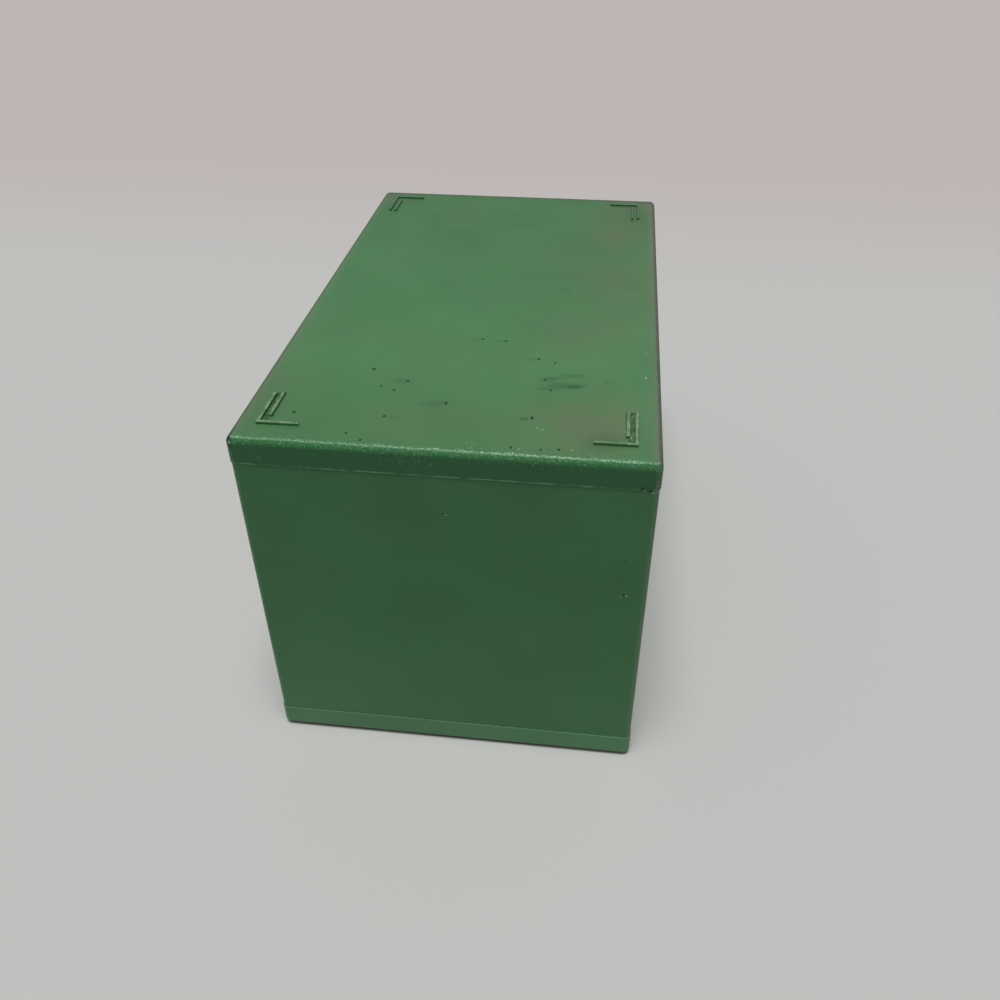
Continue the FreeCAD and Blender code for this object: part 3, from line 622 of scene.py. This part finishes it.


# The cover is a lighter green than the walls: partly a faded top, partly painted light.
GREEN_FADED_AND_LIT = (0.062, 0.214, 0.083, 1)
GREEN_SHADE = (0.020, 0.098, 0.032, 1)
GREEN_SHADED_END = (0.034, 0.130, 0.046, 1)
GREEN_SHADED_SHOULDER = (0.022, 0.125, 0.038, 1)
GREEN_WEAR_AND_GLINT = (0.300, 0.520, 0.330, 1)
GREEN_GRAIN = (0.052, 0.160, 0.066, 1)
GREEN_GRIMY = (0.016, 0.052, 0.018, 1)
GREEN_SMEARED = shade(GREEN, 0.5)
GREEN_SMUDGED = shade(GREEN, 0.45)
MARK_WORN = (0.185, 0.300, 0.178, 1)
EDGE_DUST = (0.150, 0.165, 0.125, 1)
EDGE_SHADE = (0.072, 0.084, 0.058, 1)
CORNER_DUST = (0.112, 0.138, 0.094, 1)
DRIED_DIRT = (0.004, 0.030, 0.008, 1)
# Painted shade on the top's left end is among these.
dirt_on_the_flat = [
    (settled_film, DUST_FILM), (film_patches, DUST_FILM), (shaded_ends, GREEN_SHADED_END),
    (corner_dust, CORNER_DUST)]
# Painted shade on the skirt, shoulder and three edges; a painted highlight on the right edge's
# crown.
skirt_and_edges = [
    (shaded_skirt, GREEN_SHADE), (bright_skirt_grain, GREEN_GRAIN), (dark_skirt_grain, GRIME_AND_SHADE),
    (long_edge_dust, EDGE_DUST), (shaded_edges, EDGE_SHADE), (shaded_shoulder, GREEN_SHADED_SHOULDER),
    (wear_and_glint_line, GREEN_WEAR_AND_GLINT), (loose_wear_and_glints, GREEN_WEAR_AND_GLINT), (pale_grain, MARK_WORN),
    (dark_grain, GRIME_AND_SHADE), (mark_grime, GREEN_GRIMY), (rubbed_marks, MARK_WORN),
    (seam_pale_line, GREEN_WORN), (chalky_corners, SCUFF_GREY)]
single_marks = [
    (faint_smears, GREEN_SMEARED), (smudge, GREEN_SMUDGED), (dark_specks, DRIED_DIRT),
    (scuffed_corner, GRIME_AND_SHADE), (seam_chips, GRIME_AND_SHADE), (chip_rims, CHALK), (corner_dent, CHALK),
    (pale_specks, CHALK), (skirt_scuff, MARK_WORN)]
# The cover's inner corners are darkened in a deep green: grime and painted shade.
paint("top_cover", moulded_green(
    "cover_green", body=GREEN_FADED_AND_LIT, worn=MARK_WORN, dirt=GREEN_SHADE, grain_depth=0.00025,
    handled=most_used, stains=dirt_on_the_flat + skirt_and_edges + single_marks))


# Drawers: clear trays of crystal styrene, each with its pull and label holder moulded on, and the
# dividers that slot between their ribs. The walls are so thin that most light goes straight
# through. Handling has left a faint haze and fine scratches from front to back.
CRYSTAL = (0.90, 0.94, 0.92, 1)


def clear_styrene(name, haze, density):
    """Clear plastic. Haze is how rough it is, and density the share of light that it catches."""
    material, tree, shader, place = start_material(name)
    shader.inputs["Base Color"].default_value = CRYSTAL
    shader.inputs["Transmission Weight"].default_value = 0.72
    shader.inputs["IOR"].default_value = 1.58
    shader.inputs["Alpha"].default_value = density
    scuffs = blotches(tree, place, size=0.012, between=(0.35, 0.7), values=(haze * 0.5, haze * 1.6),
                      detail=5, roughness=0.6)
    tree.links.new(scuffs, shader.inputs["Roughness"])
    drawn_out = add_node(tree, "Mapping", {"Vector": place, "Scale": (1, 0.12, 1)}).outputs[0]
    scratches = blotches(tree, drawn_out, size=0.0007, between=(0.62, 0.72), values=(0, 0.03))
    waves = mottling(tree, place, size=0.018)
    surface = calculate(tree, "ADD", waves, scratches)
    emboss(tree, shader, surface, strength=0.35, depth=0.0009)
    return material


drawer_clear = clear_styrene("drawer_clear", haze=0.12, density=0.45)
divider_clear = clear_styrene("divider_clear", haze=0.18, density=0.5)
for name in frame["nodes"]:
    if name.startswith("drawer_"):
        paint(name, drawer_clear)
    elif name.startswith("divider_"):
        paint(name, divider_clear)


# Label cards: blank slips of uncoated card, slid down into the holders on the drawer fronts.
# Age has turned them cream.
CARD_CREAM = (0.78, 0.75, 0.66, 1)
CARD_YELLOWED = (0.70, 0.65, 0.53, 1)


def uncoated_card(name):
    material, tree, shader, place = start_material(name)
    aged = blotches(tree, place, size=0.02, between=(0.3, 0.75), detail=4)
    colour = mix_colours(tree, aged, CARD_CREAM, CARD_YELLOWED)
    tree.links.new(colour, shader.inputs["Base Color"])
    shader.inputs["Roughness"].default_value = 0.85
    fibres = mottling(tree, place, size=0.0004, detail=3)
    emboss(tree, shader, fibres, strength=0.3, depth=0.00003)
    return material


card_stock = uncoated_card("card_stock")
for name in frame["nodes"]:
    if name.startswith("label_card_"):
        paint(name, card_stock)


# Table: a plain pale grey floor that runs on out of sight, a little warmer in the distance.
# It isn't part of the cabinet.
TABLE_GREY = (0.53, 0.53, 0.515, 1)
DISTANT_GREY = (0.51, 0.46, 0.452, 1)
table_half_size = 4.0

table_corners = [(-table_half_size, -table_half_size, 0), (table_half_size, -table_half_size, 0),
                 (table_half_size, table_half_size, 0), (-table_half_size, table_half_size, 0)]
table_mesh = bpy.data.meshes.new("table_top")
table_mesh.from_pydata(table_corners, [], [(0, 1, 2, 3)])
floor = bpy.data.objects.new("table_top", table_mesh)
bpy.context.scene.collection.objects.link(floor)
table_material, table_tree, table_shader, table_place = start_material("table_grey")
reach = add_node(table_tree, "VectorMath", {0: table_place}, operation="LENGTH").outputs["Value"]
down_the_view = one_part(table_tree, table_place, "X")
distant = strongest(table_tree, ramp(table_tree, down_the_view, between=(-0.25, -0.75)),
                    ramp(table_tree, reach, between=(1.0, 3.0)))
table_colour = mix_colours(table_tree, distant, TABLE_GREY, DISTANT_GREY)
table_tree.links.new(table_colour, table_shader.inputs["Base Color"])
table_shader.inputs["Roughness"].default_value = 0.7
table_shader.inputs["Specular IOR Level"].default_value = 0.3
table_mesh.materials.append(table_material)


# Light: one broad soft source, overhead but tilted a little towards the right end, and a weak even
# sky. Together they light a level surface at about its own colour.
SKY_WHITE = (0.96, 0.98, 1.0, 1)
sky_strength_on_object = 0.2
lamp_tilt = math.radians(10)
lamp_spread = math.radians(26)
lamp_level = 0.8

lamp_data = bpy.data.lights.new("soft_overhead", "SUN")
lamp_data.angle = lamp_spread
lamp_data.energy = lamp_level * math.pi / math.cos(lamp_tilt)
lamp = bpy.data.objects.new("soft_overhead", lamp_data)
lamp.rotation_euler = (0, lamp_tilt, 0)
bpy.context.scene.collection.objects.link(lamp)

world = bpy.data.worlds.new("room")
world.use_nodes = True
world_tree = world.node_tree
sky = world_tree.nodes["Background"]
ray = add_node(world_tree, "LightPath").outputs
in_view = strongest(
    world_tree, ray["Is Camera Ray"], ray["Is Glossy Ray"], ray["Is Transmission Ray"])
sky_colour = mix_colours(world_tree, in_view, SKY_WHITE, DISTANT_GREY)
sky_strength = ramp(world_tree, in_view, between=(0, 1), values=(sky_strength_on_object, 1))
world_tree.links.new(sky_colour, sky.inputs["Color"])
world_tree.links.new(sky_strength, sky.inputs["Strength"])
bpy.context.scene.world = world
bpy.context.scene.view_settings.view_transform = "Standard"
